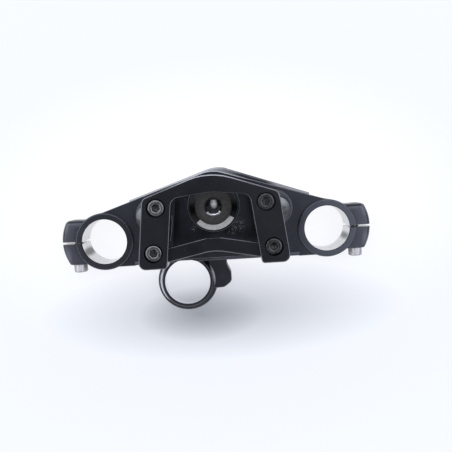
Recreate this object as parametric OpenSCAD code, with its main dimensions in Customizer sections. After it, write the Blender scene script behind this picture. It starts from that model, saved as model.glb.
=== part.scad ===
// Upper triple clamp (top yoke) of a motorcycle, with its handlebar clamps.
// The steering stem's axis is Z. The forks stand in front of it, towards -Y,
// and Z = 0 is the plane of the underside of the two fork clamps.

/* [Fork clamps] */
// Diameter of the fork tubes
fork_d = 41; // [38:0.5:44]
// Distance between the two fork tubes
fork_spacing = 203; // [196:1:215]
// Distance from the stem's axis forward to the fork tubes
fork_offset = 26.5; // [22:0.5:32]
// Height of the fork clamps
clamp_h = 28; // [26:0.5:34]
// Wall round each fork tube
clamp_wall = 5.7; // [4.5:0.1:7]
// Height of the collar that stands above the arms
collar_h = 3; // [1.5:0.5:5]
// Chamfer on the edges of the collars and their bores
edge_chamfer = 0.8; // [0.3:0.1:1.2]

/* [Pinch ears] */
// Width of the slot that lets each clamp close
slot_w = 2; // [1:0.2:4]
// Ear's outer face beyond the wall of the fork clamp
ear_reach = 14.4; // [13:0.2:16]
// Width across the two jaws of an ear
ear_w = 41; // [34:0.5:46]
// Drop from the top of the collar to the top of the ear
ear_drop = 4; // [3:0.5:6]
// Height of the ear
ear_h = 21; // [17:0.5:22]
// Radius on the ear's outer and rear edges
ear_edge_r = 4.5; // [2:0.5:5]
// Depth by which the ear's rear outer corner is trimmed
ear_trim = 1; // [0.5:0.1:1.5]
// Distance from a pinch bolt's tip to the ear's rear face
pinch_tip_gap = 3; // [1:0.5:5]

/* [Yoke body] */
// Radius of the body's rounded rear, about the stem
hub_r = 31.5; // [30:0.5:36]
// Angle between an arm's rear edge and the line through the forks
rear_angle = 18; // [17:0.2:21]
// Distance from the fork axes forward to the straight front edge
front_reach = 24.3; // [20:0.1:26]
// Thickness of the top web
web_t = 6; // [4:0.5:8]
// Thickness of the skirt under the body's edge
skirt_t = 5; // [3.5:0.5:7]
// Height of the skirt's lower edge above the clamps' underside
skirt_z = 5; // [2:0.5:8]
// Thickness of the ribs under the web
rib_t = 4; // [2.5:0.5:6]
// Height of the ribs' lower edge above the skirt's
rib_rise = 2.5; // [0:0.5:5]
// Sideways distance between the cross ribs
rib_pitch = 26; // [22:1:30]
// How far the rear rim stands out from the web's edge
rim_out = 3.2; // [2:0.1:4]
// Height of the rear rim
rim_h = 9; // [4:0.5:12]
// Distance from the rim's middle to each of its ends
rim_half = 84; // [70:0.5:84]
// Sideways offset of the rear rim from the stem
rim_shift = 5; // [0:0.5:6]
// Depth of the bevel on the front edge
front_bevel = 3; // [1:0.5:4]

/* [Steering stem] */
// Diameter of the stem tube
stem_d = 26; // [24:0.5:30]
// Wall of the hub round the stem
stem_wall = 7; // [5:0.5:9]
// Length of the lower land that guides the stem
stem_land = 13; // [10:0.5:14]
// Length of the relief groove above that land
stem_relief = 3; // [2:0.5:4]
// Depth of the relief groove in the bore's wall
stem_relief_depth = 0.6; // [0.3:0.1:1]

/* [Ignition lock ring] */
// Bore of the ring round the ignition lock
lock_d = 42.4; // [38:0.2:44]
// Ring's centre, sideways from the stem
lock_x = -29.2; // [-34:0.1:-27]
// Ring's centre, forward of the fork axes
lock_forward = 43.4; // [42:0.1:46]
// Width of the ring's flat rim
lock_rim = 2.3; // [1.5:0.1:3]
// Width of the flare outside the rim
lock_flare = 4.7; // [3:0.1:5.5]
// Height of the ring
lock_h = 10; // [8:0.5:14]
// Height of the ring's underside
lock_z = 8; // [5:0.5:11]
// Height of the upright band at the foot of the flare
lock_band = 4; // [2:0.5:5]
// How far the body is cut back from the bore above and below the ring
lock_relief = 0.6; // [0.3:0.1:1]

/* [Lock lug] */
// Sideways place of the lug's tapped hole
lug_x = 3.2; // [2:0.2:6]
// Distance of the hole forward of the front edge
lug_forward = 17.6; // [15:0.2:20]
// Radius of the lug round its hole
lug_r = 9; // [7:0.5:10]
// Thickness of the lug
lug_t = 12; // [8:0.5:14]
// Height of the lug's underside
lug_z = 2; // [0.5:0.5:5]
// Diameter of the tapped hole in the lug
lug_hole_d = 6; // [5:0.5:8]
// Depth of the tapped hole in the lug
lug_hole_depth = 9; // [6:0.5:10]

/* [Handlebar clamps] */
// Diameter of the handlebar
bar_d = 22.2; // [20:0.1:24]
// Distance from the fork axes back to the handlebar
bar_back = 13.1; // [10:0.1:16]
// Height of the handlebar's axis
bar_z = 74; // [70:0.5:84]
// Sideways distance from the middle to the centre of each clamp
leg_x = 45.2; // [43:0.1:48]
// Angle by which each clamp splays outward towards the front
leg_splay = 7; // [3:0.5:8]
// Width of each clamp's leg
leg_w = 22.8; // [20:0.1:25]
// Length of the lower clamp blocks
block_len = 52; // [50:0.5:56]
// How much narrower a lower block is than the leg above it
block_inset = 0.6; // [0:0.1:1.5]
// Wall of the lower blocks under the handlebar
block_floor = 10; // [9:0.5:12]
// Radius on the upright corners of the lower blocks
block_corner_r = 4; // [2:0.5:6]
// Gap left between the lower blocks and the cap
split_gap = 0.6; // [0.2:0.1:0.9]

/* [Risers] */
// Sideways distance from the middle to each riser
riser_x = 54.5; // [52:0.1:57]
// Distance from the fork axes back to the risers
riser_back = 21; // [19:0.1:24]
// Radius of a riser's foot
foot_r = 16; // [14:0.1:17]
// Radius of a riser's neck
neck_r = 11.5; // [10:0.1:13]
// Height of the foot's upright edge
foot_h = 2; // [1:0.5:4]
// Height of the straight neck under the shoulder
neck_h = 5; // [2:0.5:8]
// Height of the shoulder that widens from the neck to the block
shoulder_h = 8; // [6:0.5:9]
// Height of the gusset that tapers from the neck up the block's side
gusset_h = 14; // [8:0.5:18]
// Height of the raised pad under each foot
pad_h = 1; // [0.5:0.5:2]
// How far the pad stands out from the foot
pad_out = 1; // [0.5:0.5:2]
// Height of the riser washers' seats under the yoke
riser_seat_z = 10; // [9:0.5:13]
// Wall round a riser bolt in the boss under the yoke
riser_boss_wall = 5; // [4:0.5:6]

/* [Handlebar cap] */
// Wall of the cap over the handlebar
cap_crown = 4.9; // [4:0.1:8]
// Angle between the cap's rear edges and the handlebar
cap_rear_angle = 19.4; // [15:0.2:22]
// Distance from the handlebar back to the cap's rear point
cap_rear = 44.2; // [41:0.2:46]
// Radius on the cap's rear point
cap_nose_r = 50; // [30:1:60]
// Distance from the handlebar back to the window's edge
window_rear = 28; // [25:0.2:30]
// Angle between the window's rear edges and the handlebar
window_angle = 6.8; // [3:0.2:9]
// Radius on the window's rear corners
window_r = 7; // [4:0.5:8]
// Distance from the handlebar forward to the legs' front corners
leg_front = 30.6; // [29:0.2:32]
// Radius on the cap's outer corners
cap_corner_r = 5.5; // [2:0.5:6]
// Radius on the inner front corner of each leg
leg_corner_r = 2.5; // [1:0.5:3]
// Distance from the handlebar forward to the front bar's rear edge
bridge_rear = 9; // [8:0.1:10]
// Width of the front bar at the middle
bridge_w = 11.4; // [8:0.2:13]
// Angle between the front bar's edges and the handlebar
bridge_angle = 11.4; // [8:0.2:13]
// Radius on the middle of the front bar's edges
bridge_nose_r = 40; // [20:5:60]
// How far the front bar runs on under each leg
bridge_lap = 1; // [0.5:0.1:1.5]
// Drop from the cap's face to the top of the front bar
bridge_drop = 10; // [6:0.5:11]

/* [Fasteners] */
// Diameter of the cap's screws
cap_screw_d = 8; // [6:1:8]
// Length of the cap's screws under the head
cap_screw_len = 25; // [22:1:26]
// Distance along a leg from the handlebar to each screw
cap_screw_reach = 17.9; // [17:0.1:18.5]
// Depth of the cap screws' heads below the cap's face
cap_screw_sink = 0.5; // [0:0.1:1]
// Radial gap round a screw's head in its counterbore
counterbore_gap = 1; // [0.5:0.1:1.2]
// Diameter of the pinch bolts
pinch_d = 8; // [6:1:8]
// Diameter of the pinch bolts' heads
pinch_head_d = 12.4; // [11:0.2:13]
// Wall between a pinch bolt and the fork tube
pinch_wall = 3; // [2.5:0.1:4]
// Diameter of the riser bolts
riser_bolt_d = 10; // [8:1:10]
// Length of a riser bolt inside its riser
riser_bolt_grip = 20; // [14:0.5:22]
// Thickness of the riser washers
riser_washer_t = 2; // [1:0.5:2.5]
// Radial gap round a bolt in its plain hole
hole_gap = 0.25; // [0.1:0.05:0.5]
// Radial gap round a bolt in its thread
thread_gap = 0.1; // [0.05:0.05:0.2]

/* [Stem bolt] */
// Diameter of the stem bolt's head
stem_head_d = 42.4; // [38:0.2:44]
// Diameter of the flat on top of the head
stem_flat_d = 32; // [28:0.5:34]
// Height of the head's upright side
stem_side_h = 9.5; // [5:0.5:11]
// Height of the polished cone round the flat
stem_cone_h = 3.5; // [3:0.5:7]
// Size of the hexagonal socket across its flats
stem_hex = 14; // [12:0.5:17]
// Depth of the hexagonal socket
stem_hex_depth = 9; // [6:0.5:10]
// Diameter of the threaded shank
stem_shank_d = 20; // [18:0.5:22]
// Diameter of the washer under the head
stem_washer_d = 47.4; // [45:0.2:50]
// Thickness of the washer under the head
stem_washer_t = 2; // [1:0.5:4]

/* [Hidden] */
$fn = 64;
eps = 0.01;

fork_x = fork_spacing / 2;
fork_y = -fork_offset;
clamp_r = fork_d / 2 + clamp_wall;
arm_top = clamp_h - collar_h;
web_z = arm_top - web_t;
rib_z = skirt_z + rib_rise;
front_y = fork_y - front_reach;
rear_dir = [sin(rear_angle), cos(rear_angle)];
arm_rear_reach = hub_r - rear_dir * [fork_x, fork_y];

ear_r = clamp_r + ear_reach;
ear_z = clamp_h - ear_drop - ear_h;
pinch_x = fork_x + fork_d / 2 + pinch_wall + pinch_d / 2 + hole_gap;
pinch_z = ear_z + ear_h / 2;
pinch_seat_y = fork_y - ear_w / 2;
pinch_len = ear_w - pinch_tip_gap;

hub_core_r = stem_d / 2 + stem_wall;
stem_top_z = arm_top + stem_washer_t;

lock_y = fork_y - lock_forward;
lock_rim_r = lock_d / 2 + lock_rim;
lock_r = lock_rim_r + lock_flare;
lock_clear_r = lock_d / 2 + lock_relief;
lug_y = front_y - lug_forward;

bar_y = fork_y + bar_back;
leg_c = [leg_x, bar_y];
leg_dir = [sin(leg_splay), -cos(leg_splay)];
block_top = bar_z - split_gap / 2;
block_z = bar_z - bar_d / 2 - block_floor;
cap_bottom = bar_z + split_gap / 2;
cap_top = bar_z + bar_d / 2 + cap_crown;

riser_y = fork_y + riser_back;
foot_z = arm_top + pad_h;
neck_z = block_z - shoulder_h;
riser_boss_r = riser_bolt_d / 2 + riser_boss_wall;

cap_head_d = 1.5 * cap_screw_d + 1;
cap_head_z = cap_top - cap_screw_sink - cap_screw_d;

// Point at a height along a leg's middle line, in front of the handlebar
function on_leg(s) = leg_c + s * leg_dir;
// Sideways place of a leg's inner or outer edge at a given Y
function leg_edge(side, y) =
    leg_x + side * leg_w / 2 / cos(leg_splay) + (bar_y - y) * tan(leg_splay);
// Where a sloping rear edge meets a leg's edge: the edge's peak is at X = 0
function rear_corner(peak, angle, side) =
    let (x0 = leg_edge(side, peak), t = tan(angle) * tan(leg_splay))
    [x0 / (1 - t), peak - x0 / (1 - t) * tan(angle)];
// A point mirrored to the other side
function flip(p) = [-p[0], p[1]];
// Point of the front bar's edge that its rounding cuts back to a given middle
function bridge_peak(middle) = [0, middle + bridge_nose_r * (1 / cos(bridge_angle) - 1)];
// Where that edge meets a leg's inner edge
function bridge_corner(middle) = rear_corner(bridge_peak(middle)[1], bridge_angle, -1);
// Arc that replaces the corner q between its neighbours p and s
function corner_arc(p, q, s, r, n) =
    let (u = (p - q) / norm(p - q), v = (s - q) / norm(s - q),
         half = acos(u * v) / 2, c = q + (u + v) / norm(u + v) * r / sin(half),
         a = q + u * r / tan(half) - c, b = q + v * r / tan(half) - c,
         a0 = atan2(a[1], a[0]), turn = atan2(a[0] * b[1] - a[1] * b[0], a * b))
    [for (i = [0:n]) c + r * [cos(a0 + turn * i / n), sin(a0 + turn * i / n)]];
// Outline with a radius at each corner, where 0 leaves the corner sharp
function rounded(pts, radii, n = 6) =
    let (m = len(pts))
    [for (i = [0:m - 1]) each radii[i] == 0 ? [pts[i]]
        : corner_arc(pts[(i + m - 1) % m], pts[i], pts[(i + 1) % m], radii[i], n)];

// Copies for the right and, mirrored, for the left
module both_sides() {
    children();
    mirror([1, 0, 0]) children();
}

// Body's plan: rounded rear, arms and straight front, grown or shrunk by a distance
module body_plan(grow) {
    peak = [0, (hub_r + grow) / cos(rear_angle)];
    right_arm = [fork_x, fork_y] + (arm_rear_reach + grow) * rear_dir;
    right_front = [fork_x, front_y - grow];
    pts = [peak, right_arm, right_front, flip(right_front), flip(right_arm)];
    polygon(rounded(pts, [hub_r + grow, 0, 0, 0, 0], 14));
}

// Rear rim, which stands out from the web's edge between the fork clamps
module rear_rim() {
    translate([0, 0, skirt_z])
        linear_extrude(rim_h)
            intersection() {
                translate([rim_shift, 0]) body_plan(rim_out);
                translate([rim_shift - rim_half, fork_y]) square([2 * rim_half, 3 * hub_r]);
            }
}

// Profile across an ear, with its upper and lower edges rounded at a given reach
module ear_profile(back, reach) {
    polygon(rounded([[back, 0], [reach, 0], [reach, ear_h], [back, ear_h]],
        [0, ear_edge_r, ear_edge_r, 0], 4));
}

// Jaws of one pinch ear, about the fork's axis: the outer face is a drum, the front
// is cut square for the bolt's head, the rear is rounded over and its corner trimmed
module ear() {
    half = ear_w / 2;
    length = ear_r + 1;
    corner = [sqrt(ear_r * ear_r - half * half), half];
    trim_angle = atan2(corner[1], corner[0]) / 2 + 45;
    trim_reach = corner * [cos(trim_angle), sin(trim_angle)] - ear_trim;
    translate([fork_x, fork_y, ear_z])
        intersection() {
            rotate_extrude($fn = 96) ear_profile(0, ear_r);
            rotate([90, 0, 90]) linear_extrude(length) ear_profile(-half, half);
            rotate(trim_angle) translate([-length, -length, 0])
                cube([length + trim_reach, 2 * length, ear_h]);
        }
}

// Outside of one fork clamp, with chamfered ends
module fork_boss() {
    translate([fork_x, fork_y, 0]) {
        cylinder(r = clamp_r, h = clamp_h - edge_chamfer, $fn = 96);
        translate([0, 0, clamp_h - edge_chamfer])
            cylinder(r1 = clamp_r, r2 = clamp_r - edge_chamfer, h = edge_chamfer, $fn = 96);
    }
}

// Bore of one fork clamp, with its slot and pinch bolt hole
module fork_cut() {
    r = fork_d / 2;
    translate([fork_x, fork_y, -eps]) {
        cylinder(r = r, h = clamp_h + 2 * eps, $fn = 96);
        cylinder(r1 = r + edge_chamfer, r2 = r, h = edge_chamfer, $fn = 96);
        translate([0, 0, clamp_h - edge_chamfer + 2 * eps])
            cylinder(r1 = r, r2 = r + edge_chamfer, h = edge_chamfer, $fn = 96);
        translate([0, -slot_w / 2, 0]) cube([ear_r + 1, slot_w, clamp_h + 2 * eps]);
    }
    translate([pinch_x, fork_y, pinch_z]) {
        rotate([90, 0, 0]) cylinder(d = pinch_d + 2 * hole_gap, h = ear_w / 2 + 1);
        rotate([-90, 0, 0]) cylinder(d = pinch_d + 2 * thread_gap, h = ear_w / 2 + 1);
    }
}

// Plan of the ribs under the web
module rib_plan() {
    both_sides() {
        rotate(atan2(fork_y, fork_x)) translate([0, -rib_t / 2]) square([fork_x, rib_t]);
        for (i = [1:3])
            translate([i * rib_pitch - rib_t / 2, front_y]) square([rib_t, front_reach + 3 * hub_r]);
    }
    translate([-fork_x, fork_y - rib_t / 2]) square([fork_spacing, rib_t]);
}

// Hollows under the web: between the skirt, the hub, the clamps and the ribs
module underside_cut() {
    solid_r = lock_r + edge_chamfer;
    module open_plan() {
        difference() {
            body_plan(-skirt_t);
            circle(r = hub_core_r);
            both_sides() {
                translate([fork_x, fork_y]) circle(r = clamp_r + 1);
                translate([riser_x, riser_y]) circle(r = riser_boss_r);
            }
            translate([lock_x, lock_y]) circle(r = solid_r);
        }
    }
    translate([0, 0, -eps]) linear_extrude(skirt_z + 2 * eps) difference() {
        body_plan(1);
        circle(r = hub_core_r);
        both_sides() translate([fork_x, fork_y]) circle(r = clamp_r);
    }
    translate([0, 0, skirt_z]) linear_extrude(rib_z - skirt_z + eps) open_plan();
    translate([0, 0, rib_z]) linear_extrude(web_z - rib_z) difference() {
        open_plan();
        rib_plan();
    }
    both_sides() translate([riser_x, riser_y, skirt_z - eps])
        cylinder(r = riser_boss_r + 1, h = riser_seat_z - skirt_z + eps);
}

// Ring round the ignition lock: a flat rim, a flare, a narrow ledge and an upright band
module lock_ring() {
    inner = lock_d / 2 - lock_rim;
    lip = edge_chamfer;
    translate([lock_x, lock_y, lock_z])
        rotate_extrude($fn = 96) polygon([
            [inner, 0], [lock_r, 0], [lock_r, lock_band],
            [lock_r - lip, lock_band + lip], [lock_r - 2 * lip, lock_band + lip],
            [lock_rim_r + lip / 2, lock_h - lip / 2], [lock_rim_r, lock_h], [inner, lock_h]]);
}

// Lug beside the ring, which runs into the ring and the front edge
module lock_lug() {
    inner = lock_x + lock_rim_r;
    neck = lug_x + 0.6 * lug_r;
    side = lug_x + lug_r;
    front = lug_y - lug_r - edge_chamfer;
    root = front_y + skirt_t / 2;
    outline = [[inner, root], [neck, root], [neck, front_y - 0.6 * lug_r],
        [side, lug_y + lug_r / 2], [side, lug_y - lug_r / 2],
        [lug_x + 0.2 * lug_r, front], [inner - skirt_t, front - edge_chamfer]];
    translate([0, 0, lug_z])
        linear_extrude(lug_t)
            polygon(rounded(outline, [0, 0, 7, 5, 5, 6, 0], 4));
}

module top_yoke() {
    bevel_side = front_bevel * sqrt(2);
    color("#1d1f22")
    difference() {
        union() {
            translate([0, 0, skirt_z]) linear_extrude(arm_top - skirt_z) body_plan(0);
            cylinder(r = hub_core_r, h = arm_top);
            rear_rim();
            both_sides() {
                fork_boss();
                ear();
                translate([riser_x, riser_y, arm_top - eps])
                    cylinder(r = foot_r + pad_out, h = pad_h + eps);
            }
            lock_ring();
            lock_lug();
        }
        underside_cut();
        both_sides() {
            fork_cut();
            translate([riser_x, riser_y, -eps])
                cylinder(d = riser_bolt_d + 2 * hole_gap, h = foot_z + 2 * eps);
        }
        // Stem bore: two lands with a relief groove between them
        translate([0, 0, -eps]) cylinder(d = stem_d, h = arm_top + 2 * eps);
        translate([0, 0, stem_land]) cylinder(d = stem_d + 2 * stem_relief_depth, h = stem_relief);
        // Bore of the lock ring, with the body cut back above and below it
        translate([lock_x, lock_y, 0]) {
            cylinder(d = lock_d, h = clamp_h, $fn = 96);
            translate([0, 0, -eps]) cylinder(r = lock_clear_r, h = lock_z + eps, $fn = 96);
            translate([0, 0, lock_z + lock_h]) cylinder(r = lock_clear_r, h = clamp_h, $fn = 96);
        }
        translate([lug_x, lug_y, lug_z - eps]) cylinder(d = lug_hole_d, h = lug_hole_depth);
        // Bevel on the front edge, between the fork clamps
        translate([0, front_y, arm_top])
            rotate([45, 0, 0])
                cube([2 * (fork_x - clamp_r), bevel_side, bevel_side], center = true);
    }
}

// Plan of a leg's lower block, about the point where the handlebar crosses it
module block_plan() {
    w = leg_w / 2 - block_inset;
    h = block_len / 2;
    pts = [[w, -h], [w, h], [-w, h], [-w, -h]];
    translate(leg_c) rotate(leg_splay) polygon(rounded(pts, [for (p = pts) block_corner_r], 5));
}

// Block and its shoulder: a plan cut by a side profile and by a front profile,
// both of which narrow downward from the block to the neck
module clamp_block() {
    rear = bar_y + block_len / 2;
    front = bar_y - block_len / 2;
    inner = leg_edge(-1, rear);
    outer = leg_edge(1, front);
    intersection() {
        translate([0, 0, neck_z]) linear_extrude(block_top - neck_z) block_plan();
        rotate([90, 0, 90]) linear_extrude(riser_x + leg_w) polygon([
            [riser_y - neck_r, neck_z], [riser_y + neck_r, neck_z],
            [rear + 1, block_z], [rear + 1, block_top], [front - 1, block_top], [front - 1, block_z]]);
        translate([0, rear + 1, 0]) rotate([90, 0, 0]) linear_extrude(block_len + 2) polygon([
            [riser_x - neck_r, neck_z], [riser_x + neck_r, neck_z],
            [outer + 1, block_z], [outer + 1, block_top], [inner - 1, block_top], [inner - 1, block_z]]);
    }
}

// Lower half of a handlebar clamp: a round foot and neck under a block, with the
// neck's upper end tapering up the block's side as a gusset
module bar_clamp() {
    bowl = neck_z - neck_h - foot_z - foot_h;
    flare = foot_r - neck_r;
    shoulder_z = block_z - foot_z;
    profile = concat([[0, 0], [foot_r, 0]],
        [for (i = [0:6]) [foot_r - flare * sin(15 * i), foot_h + bowl * (1 - cos(15 * i))]],
        [[neck_r, shoulder_z], [0.5, shoulder_z + gusset_h], [0, shoulder_z + gusset_h]]);
    difference() {
        union() {
            translate([riser_x, riser_y, foot_z]) rotate_extrude() polygon(profile);
            clamp_block();
        }
        translate([0, bar_y, bar_z]) rotate([0, 90, 0])
            cylinder(d = bar_d, h = 2 * (leg_x + leg_w), $fn = 96);
        for (s = [-1, 1])
            translate(concat(on_leg(s * cap_screw_reach), cap_head_z - cap_screw_len - 2))
                cylinder(d = cap_screw_d + 2 * thread_gap, h = 2 * bar_d);
        translate([riser_x, riser_y, foot_z - eps])
            cylinder(d = riser_bolt_d + 2 * thread_gap, h = riser_bolt_grip + 2);
    }
}

module bar_clamp_right() {
    color("#3a3c40") bar_clamp();
}

module bar_clamp_left() {
    color("#3a3c40") mirror([1, 0, 0]) bar_clamp();
}

// Plan of the cap's plate and its two legs, which the window separates
module cap_plan() {
    peak = [0, bar_y + cap_rear];
    window_peak = [0, bar_y + window_rear];
    front = bar_y - leg_front;
    rear = rear_corner(peak[1], cap_rear_angle, 1);
    outer = [leg_edge(1, front), front];
    inner = [leg_edge(-1, front), front];
    window = rear_corner(window_peak[1], window_angle, -1);
    pts = [peak, rear, outer, inner, window, window_peak,
        flip(window), flip(inner), flip(outer), flip(rear)];
    radii = [cap_nose_r, cap_corner_r, cap_corner_r, leg_corner_r, window_r, cap_nose_r,
        window_r, leg_corner_r, cap_corner_r, cap_corner_r];
    polygon(rounded(pts, radii, 6));
}

// Plan of the front bar, a blunt V that runs on under both legs
module bridge_plan() {
    rear = bar_y - bridge_rear;
    front = rear - bridge_w;
    lap = bridge_lap * [1, -tan(bridge_angle)];
    rear_end = bridge_corner(rear) + lap;
    front_end = bridge_corner(front) + lap;
    pts = [bridge_peak(rear), rear_end, front_end, bridge_peak(front), flip(front_end), flip(rear_end)];
    polygon(rounded(pts, [bridge_nose_r, 0, 0, bridge_nose_r, 0, 0], 6));
}

module handlebar_cap() {
    cap_t = cap_top - cap_bottom;
    color("#202226")
    difference() {
        translate([0, 0, cap_bottom]) {
            linear_extrude(cap_t) cap_plan();
            linear_extrude(cap_t - bridge_drop) bridge_plan();
        }
        translate([-fork_x, bar_y, bar_z]) rotate([0, 90, 0])
            cylinder(d = bar_d, h = fork_spacing, $fn = 96);
        both_sides() for (s = [-1, 1])
            translate(on_leg(s * cap_screw_reach)) {
                cylinder(d = cap_screw_d + 2 * hole_gap, h = cap_top + 1);
                translate([0, 0, cap_head_z])
                    cylinder(d = cap_head_d + 2 * counterbore_gap, h = cap_top);
            }
    }
}

// Socket-head screw that points down from the origin, with its head above
module socket_screw(d, len, head_d, head_h, hex) {
    chamfer = d / 12;
    r = d / 2;
    head_r = head_d / 2;
    difference() {
        rotate_extrude() polygon([
            [0, -len], [r - chamfer, -len], [r, chamfer - len], [r, 0], [head_r, 0],
            [head_r, head_h - chamfer], [head_r - chamfer, head_h], [0, head_h]]);
        translate([0, 0, head_h * 0.45]) cylinder(d = hex / cos(30), h = head_h, $fn = 6);
    }
}

module cap_screw(side, s) {
    p = on_leg(s * cap_screw_reach);
    translate([side * p[0], p[1], cap_head_z])
        socket_screw(cap_screw_d, cap_screw_len, cap_head_d, cap_screw_d, cap_screw_d * 0.75);
}

module cap_screw_left_rear() {
    color("#b9bcc0") cap_screw(-1, -1);
}

module cap_screw_left_front() {
    color("#b9bcc0") cap_screw(-1, 1);
}

module cap_screw_right_rear() {
    color("#5d5f62") cap_screw(1, -1);
}

module cap_screw_right_front() {
    color("#5d5f62") cap_screw(1, 1);
}

// Hexagonal bolt from below the yoke into a riser
module riser_bolt(side) {
    head_h = 0.64 * riser_bolt_d;
    seat = riser_seat_z - riser_washer_t;
    translate([side * riser_x, riser_y, 0]) {
        translate([0, 0, seat - head_h])
            cylinder(d = 1.6 * riser_bolt_d / cos(30), h = head_h, $fn = 6);
        translate([0, 0, seat - eps])
            cylinder(d = riser_bolt_d, h = foot_z + riser_bolt_grip - seat);
    }
}

module riser_bolt_left() {
    color("#a8abae") riser_bolt(-1);
}

module riser_bolt_right() {
    color("#a8abae") riser_bolt(1);
}

module riser_washer(side) {
    translate([side * riser_x, riser_y, riser_seat_z - riser_washer_t])
        difference() {
            cylinder(d = 2 * riser_bolt_d, h = riser_washer_t);
            translate([0, 0, -eps])
                cylinder(d = riser_bolt_d + 2 * hole_gap, h = riser_washer_t + 2 * eps);
        }
}

module riser_washer_left() {
    color("#a8abae") riser_washer(-1);
}

module riser_washer_right() {
    color("#a8abae") riser_washer(1);
}

module pinch_bolt(side) {
    translate([side * pinch_x, pinch_seat_y, pinch_z])
        rotate([90, 0, 0])
            socket_screw(pinch_d, pinch_len, pinch_head_d, pinch_d, pinch_d * 0.75);
}

module pinch_bolt_left() {
    color("#c4c7ca") pinch_bolt(-1);
}

module pinch_bolt_right() {
    color("#c4c7ca") pinch_bolt(1);
}

// Large bolt that draws the yoke down on the stem
module stem_bolt() {
    top = stem_side_h + stem_cone_h;
    color("#4a4643")
    translate([0, 0, stem_top_z])
        difference() {
            union() {
                cylinder(d = stem_head_d, h = stem_side_h, $fn = 96);
                translate([0, 0, stem_side_h])
                    cylinder(d1 = stem_head_d, d2 = stem_flat_d, h = stem_cone_h, $fn = 96);
                translate([0, 0, stem_land + stem_relief / 2 - stem_top_z])
                    cylinder(d = stem_shank_d, h = stem_top_z - stem_land - stem_relief / 2 + eps);
            }
            translate([0, 0, top - stem_hex_depth])
                rotate(30) cylinder(d = stem_hex / cos(30), h = stem_hex_depth + 1, $fn = 6);
        }
}

module stem_washer() {
    color("#26282b")
    translate([0, 0, arm_top])
        difference() {
            cylinder(d = stem_washer_d, h = stem_washer_t, $fn = 96);
            translate([0, 0, -eps])
                cylinder(d = stem_shank_d + 2 * hole_gap, h = stem_washer_t + 2 * eps);
        }
}

top_yoke();
bar_clamp_left();
bar_clamp_right();
handlebar_cap();
cap_screw_left_rear();
cap_screw_left_front();
cap_screw_right_rear();
cap_screw_right_front();
riser_bolt_left();
riser_bolt_right();
riser_washer_left();
riser_washer_right();
pinch_bolt_left();
pinch_bolt_right();
stem_bolt();
stem_washer();
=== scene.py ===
from math import pi, radians

import bmesh
import bpy
import numpy as np
from mathutils import Matrix, Vector


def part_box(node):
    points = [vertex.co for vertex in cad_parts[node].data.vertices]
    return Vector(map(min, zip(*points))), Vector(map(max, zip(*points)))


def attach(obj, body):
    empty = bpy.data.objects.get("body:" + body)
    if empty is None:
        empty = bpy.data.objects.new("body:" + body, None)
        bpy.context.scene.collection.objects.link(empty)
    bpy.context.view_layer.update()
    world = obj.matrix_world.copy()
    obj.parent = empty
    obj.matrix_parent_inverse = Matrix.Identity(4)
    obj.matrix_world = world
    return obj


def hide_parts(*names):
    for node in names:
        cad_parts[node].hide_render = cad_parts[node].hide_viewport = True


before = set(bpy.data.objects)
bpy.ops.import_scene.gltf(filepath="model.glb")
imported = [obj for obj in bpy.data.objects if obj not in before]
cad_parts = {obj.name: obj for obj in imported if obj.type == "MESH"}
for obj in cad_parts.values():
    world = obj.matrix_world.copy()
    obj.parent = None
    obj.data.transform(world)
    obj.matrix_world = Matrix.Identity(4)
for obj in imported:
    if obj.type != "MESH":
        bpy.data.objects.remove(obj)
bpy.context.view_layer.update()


# Yoke casting. The real one is cast in aluminium and enamelled satin black. Then it
# is bored for the forks, the stem and the ignition lock, and its ears are slit, so
# the bores and the slots are bare metal.
FORK_X, FORK_Y, FORK_R = 0.1015, -0.0265, 0.0205
COLLAR_R = 0.0262
STEM_BORE_R, STEM_FACE_R = 0.0137, 0.016
LOCK_X, LOCK_Y, LOCK_R = -0.0292, -0.0699, 0.0285
LOCK_BORE_R, LOCK_FLANK_R, LOCK_TOP = 0.0218, 0.0225, 0.0182
REAR_RIM_TOP = 0.0145
SLACK = 0.0003


def softened(node, name, width, share, finishes):
    """Copy of a solid with rounded edges. Loose triangles are welded and flat ones
    joined. Then each sharp outward edge gets a bevel of the given width times the
    share that a function returns for the edges' middles and for how far up the
    more upward of their two faces looks. The bevels take the last finish."""
    mould = bmesh.new()
    mould.from_mesh(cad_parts[node].data)
    bmesh.ops.remove_doubles(mould, verts=mould.verts, dist=2e-6)
    bmesh.ops.dissolve_limit(mould, angle_limit=radians(0.6), verts=mould.verts, edges=mould.edges)
    points = [v.co[:] for v in mould.verts]
    faces = [[v.index for v in f.verts] for f in mould.faces]
    mould.free()
    mesh = bpy.data.meshes.new(name)
    mesh.from_pydata(points, [], faces)
    shape = bmesh.new()
    shape.from_mesh(mesh)
    weight = shape.edges.layers.float.new("bevel_weight_edge")
    sharp = [e for e in shape.edges if e.is_convex and e.calc_face_angle(0) > radians(40)]
    middle = np.array([(e.verts[0].co + e.verts[1].co) / 2 for e in sharp])
    upward = np.array([max(f.normal.z for f in e.link_faces) for e in sharp])
    for edge, amount in zip(sharp, share(middle, upward)):
        edge[weight] = amount
    shape.to_mesh(mesh)
    shape.free()
    mesh.shade_smooth()
    mesh.set_sharp_from_angle(angle=radians(30))
    for finish in finishes:
        mesh.materials.append(finish)
    piece = bpy.data.objects.new(name, mesh)
    bpy.context.scene.collection.objects.link(piece)
    bevel = piece.modifiers.new("rounded edges", "BEVEL")
    bevel.width = width
    bevel.segments = 2
    bevel.limit_method = "WEIGHT"
    bevel.harden_normals = True
    bevel.use_clamp_overlap = False
    bevel.material = len(finishes) - 1
    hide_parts(node)
    return piece


def by_face(mesh, name):
    """Array with a vector for each face, such as its centre or its normal."""
    values = np.empty(len(mesh.polygons) * 3)
    mesh.polygons.foreach_get(name, values)
    return values.reshape(-1, 3)


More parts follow.
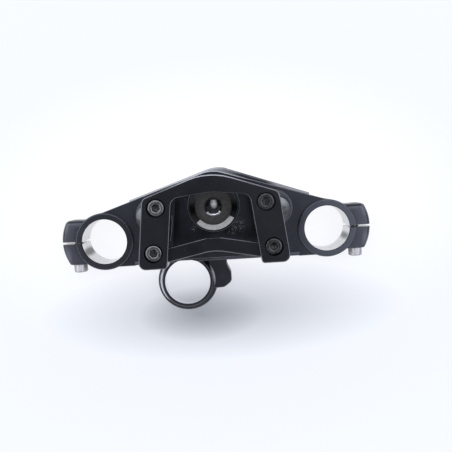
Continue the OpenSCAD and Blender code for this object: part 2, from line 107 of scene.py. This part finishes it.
def spread(nodes, links, value, start, end, low=0.0, high=1.0, curve="LINEAR"):
    """Value that goes from low to high as the given one goes from start to end."""
    node = nodes.new("ShaderNodeMapRange")
    node.interpolation_type = curve
    for name, number in (("From Min", start), ("From Max", end), ("To Min", low), ("To Max", high)):
        node.inputs[name].default_value = number
    links.new(value, node.inputs["Value"])
    return node.outputs["Result"]


def tones(nodes, links, place, scale, low, high, detail=3.0, stretch=None):
    """Grey pattern from 0 to 1: noise of the given scale per metre, drawn out
    along an axis if stretch is given, and widened between low and high."""
    if stretch is not None:
        turn = nodes.new("ShaderNodeMapping")
        turn.inputs["Scale"].default_value = stretch
        links.new(place, turn.inputs["Vector"])
        place = turn.outputs["Vector"]
    noise = nodes.new("ShaderNodeTexNoise")
    noise.inputs["Scale"].default_value = scale
    noise.inputs["Detail"].default_value = detail
    links.new(place, noise.inputs["Vector"])
    return spread(nodes, links, noise.outputs["Fac"], low, high)


def near(nodes, links, place, centre, reach, fade=1.0):
    """Share that is 0 beyond an ellipsoid of the given reach along each axis and
    rises to 1 over the given part of the way to its centre."""
    shift = nodes.new("ShaderNodeMapping")
    shift.vector_type = "TEXTURE"
    shift.inputs["Location"].default_value = centre
    shift.inputs["Scale"].default_value = reach
    links.new(place, shift.inputs["Vector"])
    ball = nodes.new("ShaderNodeTexGradient")
    ball.gradient_type = "SPHERICAL"
    links.new(shift.outputs["Vector"], ball.inputs["Vector"])
    return spread(nodes, links, ball.outputs["Fac"], 0.0, fade)


def blended(nodes, links, share, first, second):
    """Colour that goes from first to second as share goes from 0 to 1."""
    mix = nodes.new("ShaderNodeMix")
    mix.data_type = "RGBA"
    links.new(share, mix.inputs["Factor"])
    for socket, colour in ((mix.inputs["A"], first), (mix.inputs["B"], second)):
        if isinstance(colour, bpy.types.NodeSocket):
            links.new(colour, socket)
        else:
            socket.default_value = (*colour, 1)
    return mix.outputs["Result"]


def worn_and_painted(nodes, links, place, colour, wear_and_light):
    """Colour with patches of wear and of painted light and shade. Each patch is the centre
    and the reach of an ellipsoid, the part of the way over which it fades in, and its tone."""
    for centre, reach, fade, tone in wear_and_light:
        colour = blended(nodes, links, near(nodes, links, place, centre, reach, fade), colour, tone)
    return colour


def scuffed(nodes, links, place, colour, scuffs, tone):
    """Colour with scratched places: coarse noise that shows the tone within the
    ellipsoid of each scuff, given by its centre and its reach."""
    broken = tones(nodes, links, place, 650, 0.5, 0.7, detail=6.0)
    for centre, reach in scuffs:
        patch = nodes.new("ShaderNodeMath")
        patch.operation = "MULTIPLY"
        patch.use_clamp = True
        links.new(broken, patch.inputs[0])
        links.new(near(nodes, links, place, centre, reach), patch.inputs[1])
        colour = blended(nodes, links, patch.outputs["Value"], colour, tone)
    return colour


def roughened(nodes, links, share, low, high, shader):
    """Roughness that goes from low to high as share goes from 0 to 1."""
    links.new(spread(nodes, links, share, 0.0, 1.0, low, high), shader.inputs["Roughness"])


def grained(nodes, links, height, depth, strength, shader):
    """Fine relief of the given depth in metres."""
    bump = nodes.new("ShaderNodeBump")
    bump.inputs["Distance"].default_value = depth
    bump.inputs["Strength"].default_value = strength
    links.new(height, bump.inputs["Height"])
    links.new(bump.outputs["Normal"], shader.inputs["Normal"])


def fresh(name, metallic):
    """New material, its nodes and links, its shader and the piece's coordinates."""
    material = bpy.data.materials.new(name)
    material.use_nodes = True
    nodes, links = material.node_tree.nodes, material.node_tree.links
    shader = nodes["Principled BSDF"]
    shader.inputs["Metallic"].default_value = metallic
    return material, nodes, links, shader, nodes.new("ShaderNodeTexCoord").outputs["Object"]


def enamel(name, dark, light, smooth, dull, sheen=0.6, scuffs=(), wear_and_light=()):
    """Satin enamel: broad noise mixes two tones, fine noise gives its orange
    peel and its uneven sheen, and rare grains are dust. It takes patches of wear and
    of painted light and shade, and is scratched grey at the scuffs."""
    material, nodes, links, shader, place = fresh(name, 0.0)
    colour = blended(nodes, links, tones(nodes, links, place, 45, 0.3, 0.7), dark, light)
    dust = tones(nodes, links, place, 900, 0.74, 0.84, detail=1.0)
    colour = blended(nodes, links, dust, colour, (0.1, 0.1, 0.105))
    colour = worn_and_painted(nodes, links, place, colour, wear_and_light)
    if scuffs:
        colour = scuffed(nodes, links, place, colour, scuffs, (0.2, 0.2, 0.205))
    links.new(colour, shader.inputs["Base Color"])
    shader.inputs["Specular IOR Level"].default_value = sheen
    shader.inputs["Specular Tint"].default_value = (0.8, 0.85, 1, 1)
    roughened(nodes, links, tones(nodes, links, place, 70, 0.3, 0.7), smooth, dull, shader)
    peel = tones(nodes, links, place, 700, 0.2, 0.8, detail=2.0)
    grained(nodes, links, peel, 0.00001, 0.5, shader)
    return material


def bare_metal(name, dark, light, smooth, dull, lines, wear_and_light=()):
    """Machined metal: two tones and two finishes in noise that is drawn out
    along the cutting lines, which the stretch of the coordinates sets, and patches of
    wear and of painted light and shade."""
    material, nodes, links, shader, place = fresh(name, 1.0)
    cut = tones(nodes, links, place, 60, 0.3, 0.7, detail=4.0, stretch=lines)
    colour = worn_and_painted(nodes, links, place, blended(nodes, links, cut, dark, light), wear_and_light)
    links.new(colour, shader.inputs["Base Color"])
    roughened(nodes, links, tones(nodes, links, place, 90, 0.3, 0.7), smooth, dull, shader)
    grained(nodes, links, cut, 0.00002, 0.6, shader)
    return material


def yoke_edges(middle, upward):
    """Broad rounding on the rear rim, which is the lowest edge behind the stem, a
    narrow one on the outline, and none in the bores, slots and hollows."""
    x, y, z = middle.T
    from_fork = np.hypot(np.abs(x) - FORK_X, y - FORK_Y)
    rear_rim = (z < REAR_RIM_TOP) & (y > 0)
    collar = from_fork < COLLAR_R + 0.001
    lock = np.hypot(x - LOCK_X, y - LOCK_Y) < LOCK_R
    slot = (np.abs(y - FORK_Y) < 0.0015) & (np.abs(x) > FORK_X)
    bored = (from_fork < FORK_R + 0.0015) | (np.hypot(x, y) < STEM_FACE_R)
    share = np.where(rear_rim, 1.0, np.where(collar | lock, 0.15, 0.45))
    return share * (upward > 0.3) * ~bored * ~slot


# The enamel has painted highlights along the rear rim, on the ears and round the lock
# ring, is worn on the right collar and scratched beside the stem. The fork bores are
# darker in a patch each.
BLACK, SOFT_BLACK = (0.002, 0.0022, 0.0026), (0.005, 0.0052, 0.006)
# Painted highlight: the rear rim is lighter, standing for the light it reflects.
RIM_HIGHLIGHTS = (
    ((-0.045, 0.02, 0.0137), (0.074, 0.045, 0.0014), 0.4, (0.33, 0.33, 0.335)),
    ((0.073, 0.01, 0.0137), (0.026, 0.02, 0.0014), 0.4, (0.2, 0.2, 0.205)))
# Painted highlight: a light band on the outer end of each ear, standing for its reflection.
EAR_HIGHLIGHTS = tuple(
    ((side * 0.137, y, 0.016), (0.0045, 0.012, 0.02), 0.8, (0.06, 0.06, 0.066))
    for side in (-1, 1) for y in (-0.008, -0.04))
COLLAR_RUB = ((FORK_X + 0.004, FORK_Y, 0.028), (0.034, 0.034, 0.0016), 0.3, (0.026, 0.028, 0.034))
STEM_SCUFFS = (
    ((0.0215, -0.0185, 0.025), (0.009, 0.008, 0.004)),
    ((0.015, -0.024, 0.025), (0.006, 0.004, 0.004)),
    ((-0.0195, -0.019, 0.025), (0.004, 0.004, 0.004)))
yoke_enamel = enamel("yoke_enamel", BLACK, SOFT_BLACK, 0.18, 0.26,
                     scuffs=STEM_SCUFFS, wear_and_light=(*RIM_HIGHLIGHTS, *EAR_HIGHLIGHTS, COLLAR_RUB))

# Painted highlight: the bevels' enamel is much lighter than the yoke's, standing for the light
# their rounding catches, and lighter still on the ear ends, the rear peak and the rim.
EAR_END_HIGHLIGHTS = tuple(
    ((side * 0.1405, -0.027, 0.016), (0.014, 0.032, 0.02), 0.4, (0.2, 0.2, 0.205))
    for side in (-1, 1))
PEAK_HIGHLIGHT = ((0, 0.031, 0.0247), (0.05, 0.016, 0.004), 0.6, (0.3, 0.3, 0.31))
edge_highlight_enamel = enamel("edge_highlight_enamel", (0.03, 0.03, 0.033), (0.06, 0.06, 0.064), 0.25, 0.4,
                     wear_and_light=(*RIM_HIGHLIGHTS, *EAR_END_HIGHLIGHTS, PEAK_HIGHLIGHT))

# Painted highlights: light bands on the lock ring's left flank and a light patch on its right.
LOCK_HIGHLIGHTS = (
    ((LOCK_X - 0.0255, LOCK_Y - 0.001, 0.0154), (0.01, 0.031, 0.0024), 0.3, (0.42, 0.42, 0.435)),
    ((LOCK_X - 0.0285, LOCK_Y - 0.001, 0.0092), (0.01, 0.024, 0.002), 0.4, (0.2, 0.2, 0.21)),
    ((LOCK_X + 0.026, LOCK_Y + 0.007, 0.0135), (0.006, 0.016, 0.005), 0.7, (0.4, 0.4, 0.41)))
ring_enamel = enamel("ring_enamel", BLACK, SOFT_BLACK, 0.2, 0.3, sheen=0.3, wear_and_light=LOCK_HIGHLIGHTS)

UP_THE_BORE = (1, 1, 14)
# Each fork bore is darker in a patch on its outer front wall, near the slot.
BORE_DARK_PATCHES = (
    ((-FORK_X - 0.018, FORK_Y - 0.0095, 0.013), (0.007, 0.0052, 0.03), 0.6, (0.12, 0.12, 0.12)),
    ((FORK_X + 0.02, FORK_Y - 0.0094, 0.013), (0.0065, 0.0046, 0.03), 0.6, (0.12, 0.12, 0.12)))
bored_metal = bare_metal("bored_aluminium", (0.55, 0.55, 0.555), (0.75, 0.75, 0.76), 0.2, 0.35,
                         UP_THE_BORE, wear_and_light=BORE_DARK_PATCHES)
bright_bore = bare_metal("bright_bore", (0.8, 0.8, 0.81), (0.92, 0.92, 0.93), 0.12, 0.2,
                         UP_THE_BORE)

yoke = softened("top_yoke", "yoke_casting", 0.0015, yoke_edges,
                (yoke_enamel, bored_metal, ring_enamel, bright_bore, edge_highlight_enamel))

# The right part of the rear rim is drawn in, by 3 mm where it meets the arm.
RIM_FROM, RIM_TO = 0.014, 0.089
corner = np.empty(len(yoke.data.vertices) * 3)
yoke.data.vertices.foreach_get("co", corner)
corner = corner.reshape(-1, 3)
along, across = corner[:, 0], corner[:, 1]
outline = np.interp(along, (0.0157, RIM_TO), (0.033, 0.0092))
on_rim = (along > RIM_FROM) & (along < RIM_TO + 0.0005) & (across > outline - 0.001)
across[on_rim] -= np.interp(along[on_rim], (RIM_FROM, RIM_TO), (0.0004, 0.003))
yoke.data.vertices.foreach_set("co", corner.ravel())

# The fork bores, the slots and the stem bore are bare, the lock bore is bright, and
# the lock ring's flank has its own enamel with painted highlights. The numbers count the yoke's
# finishes.
BORED, RING, BRIGHT = 1, 2, 3
x, y, z = by_face(yoke.data, "center").T
facing = by_face(yoke.data, "normal")
upright = np.abs(facing[:, 2]) < 0.3
in_bore = (np.hypot(np.abs(x) - FORK_X, y - FORK_Y) < FORK_R + SLACK) & upright
in_slot = (np.abs(x) > FORK_X) & (np.abs(y - FORK_Y) < 0.0012) & (np.abs(facing[:, 1]) > 0.9)
in_stem = (np.hypot(x, y) < STEM_BORE_R) & upright
from_lock = np.hypot(x - LOCK_X, y - LOCK_Y)
on_ring = (from_lock > LOCK_FLANK_R) & (from_lock < LOCK_R + SLACK)
kinds = np.zeros(len(x), np.int32)
kinds[in_bore | in_slot | in_stem] = BORED
kinds[on_ring & (z < LOCK_TOP) & (facing[:, 2] < 0.95)] = RING
kinds[(from_lock < LOCK_BORE_R) & upright] = BRIGHT
yoke.data.polygons.foreach_set("material_index", kinds)
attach(yoke, "root")


# Lower handlebar clamps. Each is one casting of foot, neck and block, in glossy
# black, and stands on a pad of the yoke with its bolt from below.
def outer_edges(middle, upward):
    """The same rounding on each sharp edge."""
    return np.ones(len(middle))


# Painted highlights on both necks where their flares face up, standing for their reflection, and
# painted shade in the lower part of the right one.
NECK_LIGHT_AND_SHADE = (
    ((0.0585, 0.003, 0.056), (0.009, 0.009, 0.01), 0.8, (0.2, 0.2, 0.205)),
    ((0.06, -0.0045, 0.059), (0.004, 0.0035, 0.008), 0.6, (0.004, 0.0045, 0.005)),
    ((-0.0615, 0.0005, 0.056), (0.007, 0.009, 0.01), 0.9, (0.15, 0.15, 0.153)))
clamp_enamel = enamel("clamp_enamel", (0.004, 0.0045, 0.005), (0.01, 0.011, 0.012), 0.14, 0.25,
                      wear_and_light=NECK_LIGHT_AND_SHADE)
# Their bevels take the lighter edge enamel as painted highlight.
for node in ("bar_clamp_left", "bar_clamp_right"):
    clamp = softened(node, node + "_casting", 0.0006, outer_edges, (clamp_enamel, edge_highlight_enamel))
    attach(clamp, "root")


# Handlebar cap. It is milled from plate, chamfered all round and anodised
# satin black, and its four counterbores take the clamp screws.
CAP_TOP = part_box("handlebar_cap")[1].z
CAP_SIDE, CAP_REAR, CAP_FRONT = 0.045, 0.016, -0.0305
COUNTERBORE_R = 0.0088
SCREW_BOXES = [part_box(node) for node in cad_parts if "cap_screw" in node]
SCREW_XY = np.array([(low + high)[:2] for low, high in SCREW_BOXES]) / 2


def cap_edges(middle, upward):
    """Chamfer on the outline, a narrower one round the window and on the lowered
    bar, and none round the screws."""
    gap = np.linalg.norm(middle[:, None, :2] - SCREW_XY[None], axis=2).min(axis=1)
    x, y, z = middle.T
    outside = (np.abs(x) > CAP_SIDE) | (y > CAP_REAR) | (y < CAP_FRONT)
    return np.where(outside, 1.0, 0.5) * (gap > COUNTERBORE_R) * (upward > 0.3)


cap_finish = enamel("cap_anodised", (0.0015, 0.0016, 0.0018), (0.0035, 0.0037, 0.004), 0.15, 0.21,
                    sheen=0.5)
# Painted highlight: the chamfers are much lighter than the face and lightest along the rear
# outline. Painted shade makes them darker on the window's rear edge.
CHAMFER_LIGHT_AND_SHADE = (
    ((0, 0.034, CAP_TOP), (0.06, 0.024, 0.01), 0.6, (0.26, 0.26, 0.27)),
    ((0.004, 0.014, CAP_TOP), (0.035, 0.012, 0.02), 0.4, (0.012, 0.012, 0.014)))
chamfer_highlight = enamel("cap_chamfer_highlight", (0.05, 0.05, 0.053), (0.11, 0.11, 0.115), 0.25, 0.4,
                        wear_and_light=CHAMFER_LIGHT_AND_SHADE)
cap = softened("handlebar_cap", "milled_cap", 0.0008, cap_edges, (cap_finish, chamfer_highlight))
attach(cap, "root")


# Socket screws. They are cold-headed steel with a knurled head and a hexagonal
# socket, and a thread is rolled on the lower part of each shank. Those of the cap
# are aged or dulled, and those of the ears are still bright with zinc.
SCREW_D, HEAD_H, KEY = 0.008, 0.008, 0.006
CAP_HEAD_D, PINCH_HEAD_D = 0.013, 0.0124
SOCKET_SHADE_R = 0.0034


def across_hexagon(angle, flats):
    """Radius of a hexagon at an angle: half its width over the cosine of the
    angle from the nearest flat's middle."""
    off = np.mod(angle + pi / 6, pi / 3) - pi / 6
    return flats / 2 / np.cos(off)


def lathed(profile, angle):
    """Rings of a profile from the foot up and down into the socket. Each has a
    height and a radius, which may differ by angle, and its points are the radius
    times the cosine and the sine of the angle."""
    rings = []
    for z, radius in profile:
        circle = np.broadcast_to(radius, angle.shape)
        rings.append(np.stack([circle * np.cos(angle), circle * np.sin(angle),
                               np.full_like(angle, z)], 1))
    return np.array(rings)


def screw_rings(length, head_d):
    """Rings of a socket screw that points down from the origin. The radius is the
    major one less a triangle wave along the helix in the thread, the head's with
    a cosine for the knurl, and a blend from the circle to the hexagon in the
    socket."""
    angle = np.linspace(0, 2 * pi, 144, endpoint=False)
    shank_r, head_r = SCREW_D / 2, head_d / 2
    pitch = SCREW_D * 0.156
    profile = [(-length, 0.0), (-length, shank_r * 0.8)]
    for z in np.arange(-length + 0.0006, -length * 0.25, pitch / 6):
        wave = np.abs(np.mod(z / pitch - angle / (2 * pi), 1) - 0.5) * 2
        profile.append((z, shank_r - 0.55 * pitch * (1 - wave)))
    profile += [(-length * 0.22, shank_r), (0, shank_r)]
    knurl = 0.00008 * np.cos(angle * 36)
    profile += [(0, head_r - 0.0006), (0.0005, head_r - 0.0002),
                (0.001, head_r - 0.00013 + knurl), (HEAD_H * 0.78, head_r - 0.00013 + knurl),
                (HEAD_H * 0.8, head_r - 0.0001), (HEAD_H - 0.0009, head_r - 0.0001),
                (HEAD_H - 0.0003, head_r - 0.0004), (HEAD_H, head_r - 0.0011)]
    hexagon = across_hexagon(angle, KEY)
    profile += [(HEAD_H, KEY * 0.66), (HEAD_H - KEY * 0.06, np.minimum(hexagon, KEY * 0.6)),
                (HEAD_H - KEY * 0.1, hexagon), (HEAD_H * 0.5, hexagon),
                (HEAD_H * 0.5 - 0.0002, hexagon * 0.94), (HEAD_H * 0.5 - KEY * 0.2, 0.0)]
    return lathed(profile, angle)


def turned(name, rings, finish, socket_finish, socket_radius):
    """Closed piece of rings that are joined by quads, with the first and the
    last ring drawn together to a point. The faces of the last rings, which lie
    within the socket's radius, take a finish of their own."""
    rows, columns = rings.shape[:2]
    inner = rings[1:-1].reshape(-1, 3)
    points = np.concatenate([inner, rings[0, :1], rings[-1, :1]])
    row, column = np.meshgrid(np.arange(rows - 3), np.arange(columns), indexing="ij")
    after = (column + 1) % columns
    quads = np.stack([row * columns + column, row * columns + after,
                      (row + 1) * columns + after, (row + 1) * columns + column], -1).reshape(-1, 4)
    around = np.arange(columns)
    onward = (around + 1) % columns
    last = (rows - 3) * columns
    foot = np.stack([np.full(columns, len(inner)), onward, around], 1)
    top = np.stack([np.full(columns, len(inner) + 1), last + around, last + onward], 1)
    mesh = bpy.data.meshes.new(name)
    mesh.from_pydata(points.tolist(), [], quads.tolist() + foot.tolist() + top.tolist())
    mesh.materials.append(finish)
    mesh.materials.append(socket_finish)
    x, y, z = by_face(mesh, "center").T
    inside = (np.hypot(x, y) < socket_radius) & (z > z.mean())
    mesh.polygons.foreach_set("material_index", inside.astype(np.int32))
    mesh.shade_smooth()
    mesh.set_sharp_from_angle(angle=radians(32))
    shape = bmesh.new()
    shape.from_mesh(mesh)
    bmesh.ops.recalc_face_normals(shape, faces=shape.faces)
    shape.to_mesh(mesh)
    shape.free()
    piece = bpy.data.objects.new(name, mesh)
    bpy.context.scene.collection.objects.link(piece)
    return piece


def steel(name, dark, light, smooth, dull, grime, wear_and_light=()):
    """Plated steel: two tones in fine noise, with grime in a coarser noise, and
    patches of wear and of painted light and shade."""
    material, nodes, links, shader, place = fresh(name, 1.0)
    colour = blended(nodes, links, tones(nodes, links, place, 500, 0.3, 0.7), dark, light)
    colour = blended(nodes, links, tones(nodes, links, place, 260, 0.55, 0.7), colour, grime)
    colour = worn_and_painted(nodes, links, place, colour, wear_and_light)
    links.new(colour, shader.inputs["Base Color"])
    roughened(nodes, links, tones(nodes, links, place, 300, 0.3, 0.7), smooth, dull, shader)
    grained(nodes, links, tones(nodes, links, place, 1500, 0.2, 0.8), 0.000006, 0.4, shader)
    return material


def socket_screw(node, length, head_d, finish):
    """Screw on the Z axis in place of a node, with its socket painted dark as shade."""
    screw = turned(node + "_turned", screw_rings(length, head_d), finish, socket_shade, SOCKET_SHADE_R)
    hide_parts(node)
    return screw


zinc = steel("zinc_plate", (0.34, 0.34, 0.343), (0.42, 0.42, 0.427), 0.35, 0.45, (0.3, 0.3, 0.3))
aged = steel("aged_plate", (0.075, 0.075, 0.077), (0.12, 0.12, 0.122), 0.2, 0.28,
             (0.045, 0.044, 0.043))
dull = steel("dulled_plate", (0.03, 0.031, 0.032), (0.05, 0.051, 0.052), 0.2, 0.3,
             (0.02, 0.02, 0.02))
# Painted shade: the sockets are much darker than the heads, standing for the shade in them.
socket_shade = steel("shaded_socket", (0.02, 0.02, 0.021), (0.05, 0.05, 0.051), 0.35, 0.5,
              (0.01, 0.01, 0.01))

CAP_SCREWS = (("cap_screw_left_rear", aged, "zinc_steel", 12),
              ("cap_screw_left_front", aged, "zinc_steel", 40),
              ("cap_screw_right_rear", dull, "dull_steel", 25),
              ("cap_screw_right_front", dull, "dull_steel", 3))
for node, finish, slot, turn in CAP_SCREWS:
    low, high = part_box(node)
    screw = socket_screw(node, high.z - low.z - HEAD_H, CAP_HEAD_D, finish)
    under_head = ((low.x + high.x) / 2, (low.y + high.y) / 2, high.z - HEAD_H)
    screw.data.transform(Matrix.Translation(under_head) @ Matrix.Rotation(radians(turn), 4, "Z"))
    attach(screw, "root")
for node, turn in (("pinch_bolt_left", 20), ("pinch_bolt_right", 50)):
    low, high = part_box(node)
    screw = socket_screw(node, high.y - low.y - HEAD_H, PINCH_HEAD_D, zinc)
    under_head = ((low.x + high.x) / 2, low.y + HEAD_H, (low.z + high.z) / 2)
    screw.data.transform(Matrix.Translation(under_head) @ Matrix.Rotation(radians(90), 4, "X")
                         @ Matrix.Rotation(radians(turn), 4, "Z"))
    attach(screw, "root")


# Stem bolt. It is turned from steel and screwed into the steering stem over a black
# washer. Its face is blackened. The cone round it and the rim of its socket are
# polished in front, as painted highlight, and take the socket's dark colour behind,
# as painted shade and dark reflection where the cap hangs over them.
low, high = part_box("stem_bolt")
HEAD_R, CONE_R, RECESS_R, SHANK_R, STEM_KEY = (high.x - low.x) / 2, 0.0161, 0.0081, 0.01, 0.012
face, seat = high.z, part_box("stem_washer")[1].z
CONE_FOOT = face - 0.0034
angle = np.linspace(0, 2 * pi, 192, endpoint=False)
hexagon = across_hexagon(angle + pi / 6, STEM_KEY)
stem_profile = (
    (low.z, 0.0), (low.z, 0.009), (low.z + 0.001, SHANK_R), (seat, SHANK_R),
    (seat, HEAD_R - 0.0006), (seat + 0.0006, HEAD_R), (face - 0.0036, HEAD_R),
    (CONE_FOOT, HEAD_R - 0.0002), (face, CONE_R), (face, RECESS_R),
    (face - 0.0008, np.maximum(hexagon, 0.0066)), (face - 0.0012, hexagon),
    (face - 0.0065, hexagon), (face - 0.0067, hexagon * 0.96), (face - 0.0087, 0.0))
# Painted highlight in the socket, where its bottom catches the light. The socket itself is painted
# dark as shade.
SOCKET_HIGHLIGHT = ((0.0005, 0.0028, face - 0.0075), (0.0034, 0.0055, 0.004), 0.8, (0.75, 0.75, 0.75))
blackened = steel("blackened_face", (0.04, 0.038, 0.037), (0.052, 0.05, 0.048), 0.38, 0.5,
                  (0.035, 0.033, 0.032))
polished = steel("polished_steel", (0.33, 0.33, 0.335), (0.43, 0.43, 0.435), 0.12, 0.22,
                 (0.3, 0.3, 0.3))
stem_socket = steel("stem_socket", (0.015, 0.015, 0.016), (0.03, 0.03, 0.031), 0.3, 0.45,
                    (0.01, 0.01, 0.01), wear_and_light=(SOCKET_HIGHLIGHT,))
PAINTED_SHADE, POLISHED = 1, 2

stem = turned("stem_bolt_turned", lathed(stem_profile, angle), blackened, stem_socket, 0.0075)
stem.data.materials.append(polished)
finish = np.empty(len(stem.data.polygons), np.int32)
stem.data.polygons.foreach_get("material_index", finish)
x, y, z = by_face(stem.data, "center").T
out = np.hypot(x, y)
from_front = np.degrees(np.arctan2(x, -y))
# Behind, the cone and the rim take the socket's dark colour as painted shade. In front they are
# polished as painted highlight.
cone = (z > CONE_FOOT) & (out > CONE_R)
rim = (z > face - 0.0019) & (out < RECESS_R)
finish[cone] = PAINTED_SHADE
finish[cone & (from_front > -48) & (from_front < 58)] = POLISHED
finish[rim & (np.abs(from_front) < 53)] = POLISHED
stem.data.polygons.foreach_set("material_index", finish)
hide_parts("stem_bolt")
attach(stem, "root")


# Stem washer, riser bolts and riser washers. The stem washer is turned and black.
# The bolts and their washers are zinc plated, and hold the risers from below.
# Its bevels take the cap's lighter chamfer colour as painted highlight.
washer = softened("stem_washer", "stem_washer_turned", 0.0004, outer_edges,
                  (yoke_enamel, chamfer_highlight))
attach(washer, "root")
for node in ("riser_bolt_left", "riser_bolt_right", "riser_washer_left", "riser_washer_right"):
    piece = softened(node, node + "_plated", 0.0003, outer_edges, (zinc,))
    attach(piece, "root")


# Studio floor. Pale paper that glows softly, with a painted shadow in front of the lock
# ring, in ever smaller patches, and painted light round the clamps.
FLOOR_HALF, FLOOR_Z = 3, -0.0004
PAINTED_LIGHT_AND_SHADOW = (
    ((0, -0.01, 0), (0.26, 0.15, 0.1), 0.6, (1.0, 1.0, 1.02)),
    ((0, -0.13, 0), (0.3, 0.14, 0.1), 1.0, (0.8, 0.83, 0.91)),
    ((0, -0.105, 0), (0.18, 0.05, 0.1), 1.0, (0.38, 0.4, 0.44)),
    ((-0.02, -0.107, 0), (0.062, 0.028, 0.1), 1.0, (0.2, 0.215, 0.245)))
paper, nodes, links, shader, spot = fresh("white_paper", 0.0)
shader.inputs["Base Color"].default_value = (0.1, 0.1, 0.102, 1)
shader.inputs["Roughness"].default_value = 0.9
glow = worn_and_painted(nodes, links, spot, (0.84, 0.87, 0.92), PAINTED_LIGHT_AND_SHADOW)
links.new(glow, shader.inputs["Emission Color"])
shader.inputs["Emission Strength"].default_value = 0.9
floor_mesh = bpy.data.meshes.new("floor")
floor_corners = [(x * FLOOR_HALF, y * FLOOR_HALF, FLOOR_Z)
                 for x, y in ((-1, -1), (1, -1), (1, 1), (-1, 1))]
floor_mesh.from_pydata(floor_corners, [], [(0, 1, 2, 3)])
floor_mesh.materials.append(paper)
floor = bpy.data.objects.new("floor", floor_mesh)
bpy.context.scene.collection.objects.link(floor)


# Studio light. A bright surround, softly dimmer overhead and in front, with a pale
# wall low down and a soft lamp in front. Each stop is how far towards the zenith it
# lies and how bright it is.
ZENITH = (-0.075, -0.07, 1)
SKY = ((0.0, 0.03), (0.4, 0.03), (0.52, 0.5), (0.6, 0.8), (0.7, 0.52), (0.85, 0.5), (0.92, 0.4),
       (0.956, 0.27), (0.968, 0.16), (0.98, 0.08), (0.987, 0.05), (0.993, 0.17), (0.9975, 0.02),
       (1.0, 0.012))
LAMP_PLACE, LAMP_REACH, LAMP_TONE = (0, -0.85, 0.37), (1.0, 0.5, 0.3), (0.16, 0.16, 0.163)
WALL_TOP, WALL_FULL, WALL_TONE = 0.42, 0.25, (0.155, 0.158, 0.165)

world = bpy.data.worlds.new("studio")
bpy.context.scene.world = world
world.use_nodes = True
nodes, links = world.node_tree.nodes, world.node_tree.links
toward = nodes.new("ShaderNodeTexCoord").outputs["Generated"]
split = nodes.new("ShaderNodeSeparateXYZ")
links.new(toward, split.inputs["Vector"])
overhead = nodes.new("ShaderNodeVectorMath")
overhead.operation = "DOT_PRODUCT"
overhead.inputs[1].default_value = Vector(ZENITH).normalized()
links.new(toward, overhead.inputs[0])
ramp = nodes.new("ShaderNodeValToRGB")
while len(ramp.color_ramp.elements) < len(SKY):
    ramp.color_ramp.elements.new(0.5)
for element, (height, tone) in zip(ramp.color_ramp.elements, SKY):
    element.position = height
    element.color = (0.95 * tone, 0.98 * tone, 1.07 * tone, 1)
links.new(overhead.outputs["Value"], ramp.inputs["Fac"])
dimmed = nodes.new("ShaderNodeVectorMath")
dimmed.operation = "SCALE"
links.new(ramp.outputs["Color"], dimmed.inputs[0])
less_in_front = spread(nodes, links, split.outputs["Y"], -0.75, 0.15, 0.25, 1.0, "SMOOTHSTEP")
links.new(less_in_front, dimmed.inputs["Scale"])
lamp = near(nodes, links, toward, LAMP_PLACE, LAMP_REACH, 0.5)
light = blended(nodes, links, lamp, dimmed.outputs["Vector"], LAMP_TONE)
wall = spread(nodes, links, split.outputs["Z"], WALL_TOP, WALL_FULL)
light = blended(nodes, links, wall, light, WALL_TONE)
links.new(light, nodes["Background"].inputs["Color"])
nodes["Background"].inputs["Strength"].default_value = 5.5
bpy.context.scene.view_settings.view_transform = "Standard"


# Camera. It looks down almost along the stem from where the photograph was taken.
# Its focal length is 486 pixels where the picture is 452 pixels wide.
camera = bpy.data.objects.new("camera", bpy.data.cameras.new("camera"))
bpy.context.scene.collection.objects.link(camera)
camera.data.sensor_width = 36.0
camera.data.lens = 486.0 / 452.0 * camera.data.sensor_width
camera.data.clip_start = 0.01
camera.data.clip_end = 20.0
right = Vector((0.99800, -0.06288, -0.00614))
up = Vector((0.06197, 0.99323, -0.09829))
back = Vector((0.01228, 0.09771, 0.99514))
place = Vector((0.01546, 0.02417, 0.4664))
camera.matrix_world = Matrix.Translation(place) @ Matrix((right, up, back)).transposed().to_4x4()
bpy.context.scene.camera = camera
